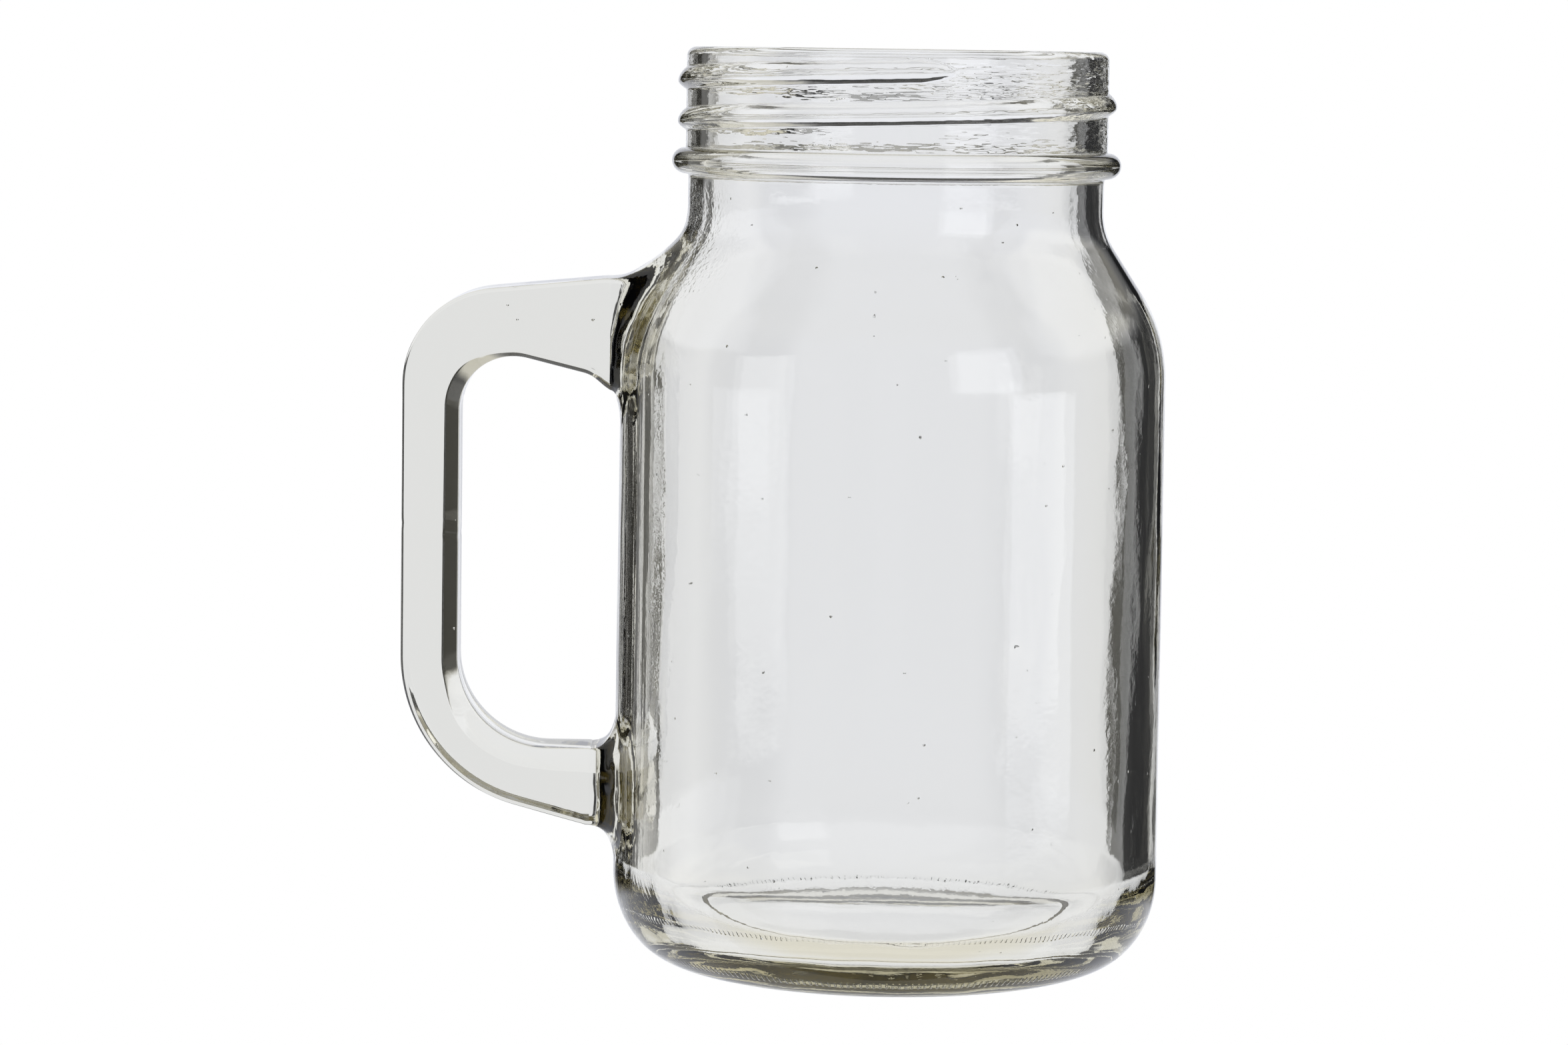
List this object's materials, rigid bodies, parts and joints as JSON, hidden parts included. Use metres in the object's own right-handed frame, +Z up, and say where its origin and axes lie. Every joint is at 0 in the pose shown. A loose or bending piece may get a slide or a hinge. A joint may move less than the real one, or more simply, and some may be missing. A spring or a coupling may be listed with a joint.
{
  "type": "glass jar mug",
  "caption": "Clear glass drinking jar with a screw-thread mouth, a round shoulder, a thick base and a D-shaped side handle.",
  "frame": {"origin": "on the jar's axis, in the plane of the standing ring", "axes": "+Z up along the jar's axis towards the mouth, -X towards the handle, Y across the handle"},
  "size_m": [0.1203, 0.0866, 0.1444],
  "materials": {
    "jar_glass": "fire-polished clear soda-lime glass, faint olive-grey tint in the thick parts",
    "handle_glass": "pressed clear soda-lime glass, faint olive-grey tint"
  },
  "bodies": {
    "root": {"jar": "jar_glass", "handle": "handle_glass"}
  },
  "joints": []
}
